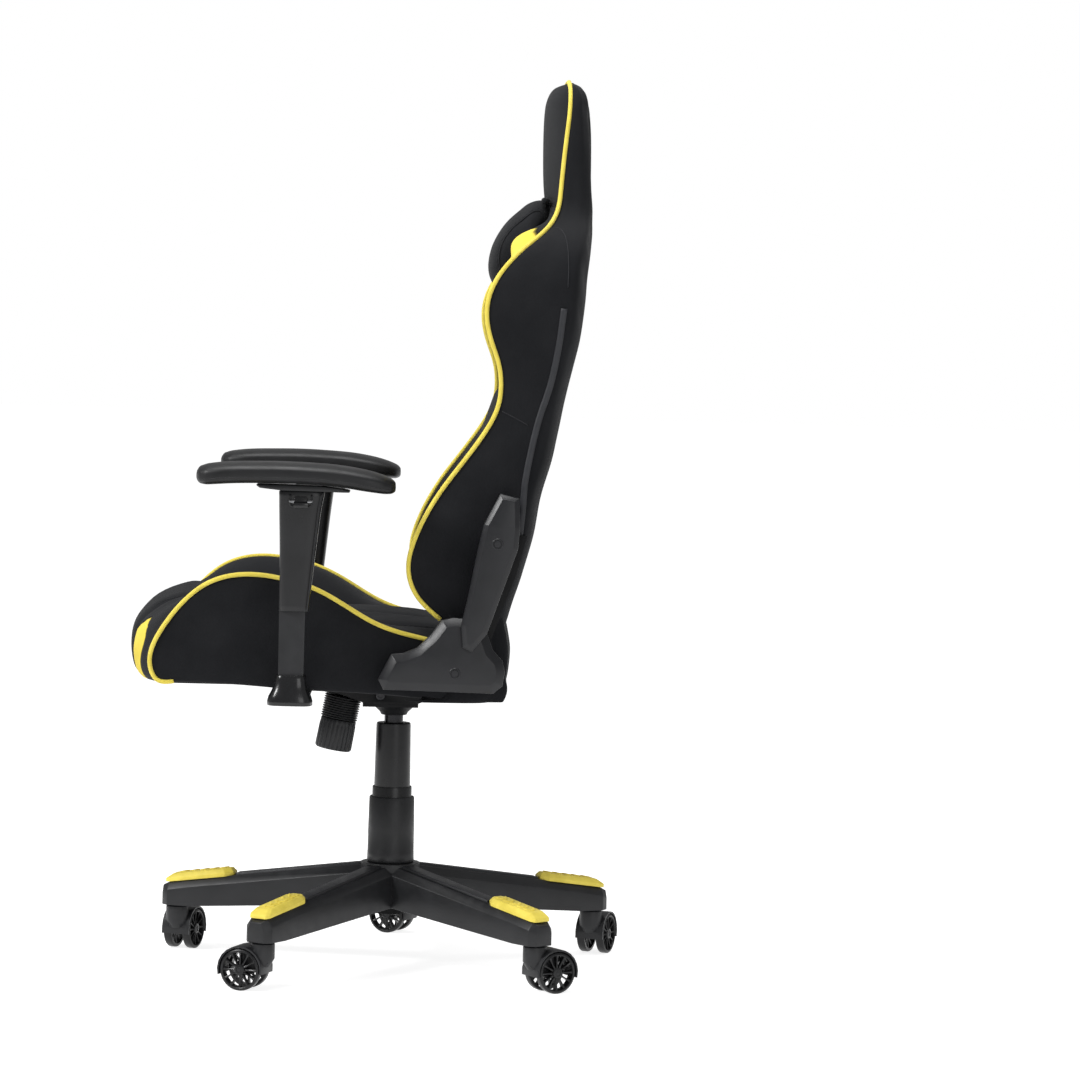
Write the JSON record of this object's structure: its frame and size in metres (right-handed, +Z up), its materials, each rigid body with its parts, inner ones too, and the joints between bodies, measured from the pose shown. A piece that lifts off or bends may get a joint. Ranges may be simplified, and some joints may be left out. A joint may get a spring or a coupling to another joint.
{
  "type": "gaming chair",
  "caption": "Racing-style swivel chair with a bucket seat, winged reclining backrest, height-adjustable armrests, gas lift and a star base on casters",
  "frame": {"origin": "on the floor under the middle of the chair's footprint, 19.4 mm in front of the gas column's axis", "axes": "+Z up, front of the chair towards -Y, the sitter's left towards +X"},
  "size_m": [0.712, 0.7372, 1.308],
  "materials": {
    "nylon": "matt charcoal glass-filled nylon",
    "gloss": "smooth black plastic",
    "steel": "black powder coat",
    "bright": "polished steel",
    "fabric": "black woven cloth over moulded foam, with yellow piping",
    "arm_skin": "soft black polyurethane",
    "yellow": "yellow grip rubber"
  },
  "bodies": {
    "base": {"star_base": "nylon", "foot_pad_1": "yellow", "foot_pad_2": "yellow", "foot_pad_3": "yellow", "foot_pad_4": "yellow", "foot_pad_5": "yellow", "cover_lower": "nylon", "cover_middle": "nylon", "gas_outer_tube": "steel", "thrust_bearing": "bright"},
    "swivel": {"piston_rod": "bright"},
    "lift": {"gas_cylinder": "bright", "cover_upper": "nylon", "tilt_bracket": "steel"},
    "valve": {"valve_pin": "bright"},
    "lever": {"lift_lever": "nylon"},
    "seat": {"seat_plate": "steel", "seat_frame": "steel", "seat_cushion": "fabric", "seat_bolster_left": "fabric", "seat_bolster_right": "fabric", "hinge_cover_left": "nylon", "hinge_cover_right": "nylon", "arm_post_left": "steel", "arm_post_right": "steel", "arm_boot_left": "gloss", "arm_boot_right": "gloss", "knob_bellows": "nylon", "tension_spring": "bright"},
    "knob": {"tension_knob": "nylon"},
    "back": {"back_frame": "steel", "back_panel": "fabric", "back_wing_left": "fabric", "back_wing_right": "fabric", "bracket_cover_left": "nylon", "bracket_cover_right": "nylon", "neck_pillow": "fabric", "lumbar_pillow": "fabric"},
    "recline_handle": {"recline_lever": "nylon"},
    "armrest_left": {"arm_sleeve_left": "nylon", "arm_pad_left": "arm_skin"},
    "arm_button_left": {"arm_button_left": "gloss"},
    "armrest_right": {"arm_sleeve_right": "nylon", "arm_pad_right": "arm_skin"},
    "arm_button_right": {"arm_button_right": "gloss"},
    "caster_1": {"caster_fork_1": "nylon"},
    "wheel_1a": {"caster_wheel_1a": "gloss"},
    "wheel_1b": {"caster_wheel_1b": "gloss"},
    "caster_2": {"caster_fork_2": "nylon"},
    "wheel_2a": {"caster_wheel_2a": "gloss"},
    "wheel_2b": {"caster_wheel_2b": "gloss"},
    "caster_3": {"caster_fork_3": "nylon"},
    "wheel_3a": {"caster_wheel_3a": "gloss"},
    "wheel_3b": {"caster_wheel_3b": "gloss"},
    "caster_4": {"caster_fork_4": "nylon"},
    "wheel_4a": {"caster_wheel_4a": "gloss"},
    "wheel_4b": {"caster_wheel_4b": "gloss"},
    "caster_5": {"caster_fork_5": "nylon"},
    "wheel_5a": {"caster_wheel_5a": "gloss"},
    "wheel_5b": {"caster_wheel_5b": "gloss"}
  },
  "joints": [
    {"name": "caster_1_swivel", "type": "hinge", "parent": "base", "child": "caster_1", "pos_m": [-0.12362, 0.32541, 0.08], "axis": [0, 0, 1], "continuous": true},
    {"name": "wheel_1a_roll", "type": "hinge", "parent": "caster_1", "child": "wheel_1a", "pos_m": [-0.14865, 0.33553, 0.03], "axis": [0.3746, 0.9272, 0], "continuous": true},
    {"name": "wheel_1b_roll", "type": "hinge", "parent": "caster_1", "child": "wheel_1b", "pos_m": [-0.14865, 0.33553, 0.03], "axis": [0.3746, 0.9272, 0], "continuous": true},
    {"name": "caster_2_swivel", "type": "hinge", "parent": "base", "child": "caster_2", "pos_m": [-0.3292, -0.00358, 0.08], "axis": [0, 0, 1], "continuous": true},
    {"name": "wheel_2a_roll", "type": "hinge", "parent": "caster_2", "child": "wheel_2a", "pos_m": [-0.31694, 0.02048, 0.03], "axis": [0.891, -0.454, 0], "continuous": true},
    {"name": "wheel_2b_roll", "type": "hinge", "parent": "caster_2", "child": "wheel_2b", "pos_m": [-0.31694, 0.02048, 0.03], "axis": [0.891, -0.454, 0], "continuous": true},
    {"name": "caster_3_swivel", "type": "hinge", "parent": "base", "child": "caster_3", "pos_m": [-0.07983, -0.30075, 0.08], "axis": [0, 0, 1], "continuous": true},
    {"name": "wheel_3a_roll", "type": "hinge", "parent": "caster_3", "child": "wheel_3a", "pos_m": [-0.10521, -0.29152, 0.03], "axis": [0.342, 0.9397, 0], "continuous": true},
    {"name": "wheel_3b_roll", "type": "hinge", "parent": "caster_3", "child": "wheel_3b", "pos_m": [-0.10521, -0.29152, 0.03], "axis": [0.342, 0.9397, 0], "continuous": true},
    {"name": "caster_4_swivel", "type": "hinge", "parent": "base", "child": "caster_4", "pos_m": [0.27986, -0.15543, 0.08], "axis": [0, 0, 1], "continuous": true},
    {"name": "wheel_4a_roll", "type": "hinge", "parent": "caster_4", "child": "wheel_4a", "pos_m": [0.27062, -0.1808, 0.03], "axis": [-0.9397, 0.342, 0], "continuous": true},
    {"name": "wheel_4b_roll", "type": "hinge", "parent": "caster_4", "child": "wheel_4b", "pos_m": [0.27062, -0.1808, 0.03], "axis": [-0.9397, 0.342, 0], "continuous": true},
    {"name": "caster_5_swivel", "type": "hinge", "parent": "base", "child": "caster_5", "pos_m": [0.25279, 0.23156, 0.08], "axis": [0, 0, 1], "continuous": true},
    {"name": "wheel_5a_roll", "type": "hinge", "parent": "caster_5", "child": "wheel_5a", "pos_m": [0.23889, 0.25471, 0.03], "axis": [0.8572, 0.515, 0], "continuous": true},
    {"name": "wheel_5b_roll", "type": "hinge", "parent": "caster_5", "child": "wheel_5b", "pos_m": [0.23889, 0.25471, 0.03], "axis": [0.8572, 0.515, 0], "continuous": true},
    {"name": "chair_swivel", "type": "hinge", "parent": "base", "child": "swivel", "pos_m": [0, 0.01944, 0.087], "axis": [0, 0, 1], "continuous": true},
    {"name": "height_lift", "type": "slide", "parent": "swivel", "child": "lift", "axis": [0, 0, 1], "range_m": [-0.075, 0]},
    {"name": "valve_press", "type": "slide", "parent": "lift", "child": "valve", "axis": [0, 0, -1], "range_m": [0, 0.003], "stiffness_N_per_m": 800, "springref_m": -0.002},
    {"name": "lever_lift", "type": "hinge", "parent": "lift", "child": "lever", "pos_m": [-0.038, 0.03844, 0.398], "axis": [0, 1, 0], "range_deg": [0, 5], "stiffness_Nm_per_rad": 8, "springref_deg": -6.88},
    {"name": "seat_tilt", "type": "hinge", "parent": "lift", "child": "seat", "pos_m": [0, -0.00056, 0.404], "axis": [-1, 0, 0], "range_deg": [0, 10], "stiffness_Nm_per_rad": 120, "springref_deg": -22.92, "deforming": ["tension_spring", "knob_bellows"]},
    {"name": "tension_turn", "type": "hinge", "parent": "seat", "child": "knob", "pos_m": [0, -0.06956, 0.322], "axis": [0, 0.1736, 0.9848], "range_deg": [-1080, 1080]},
    {"name": "back_recline", "type": "hinge", "parent": "seat", "child": "back", "pos_m": [0, 0.13644, 0.501], "axis": [-1, 0, 0], "range_deg": [0, 48]},
    {"name": "recline_pull", "type": "hinge", "parent": "seat", "child": "recline_handle", "pos_m": [-0.287, 0.10744, 0.458], "axis": [-1, 0, 0], "range_deg": [0, 25], "stiffness_Nm_per_rad": 0.6, "springref_deg": -20.05},
    {"name": "arm_height_left", "type": "slide", "parent": "seat", "child": "armrest_left", "axis": [0, 0, 1], "range_m": [-0.07, 0]},
    {"name": "arm_button_left_press", "type": "slide", "parent": "armrest_left", "child": "arm_button_left", "axis": [0, 0, 1], "range_m": [0, 0.0035], "stiffness_N_per_m": 400, "springref_m": -0.002},
    {"name": "arm_height_right", "type": "slide", "parent": "seat", "child": "armrest_right", "axis": [0, 0, 1], "range_m": [-0.07, 0]},
    {"name": "arm_button_right_press", "type": "slide", "parent": "armrest_right", "child": "arm_button_right", "axis": [0, 0, 1], "range_m": [0, 0.0035], "stiffness_N_per_m": 400, "springref_m": -0.002}
  ],
  "couplings": [
    {"joint": "valve_press", "follows": "lever_lift", "m_per_rad": 0.034}
  ]
}
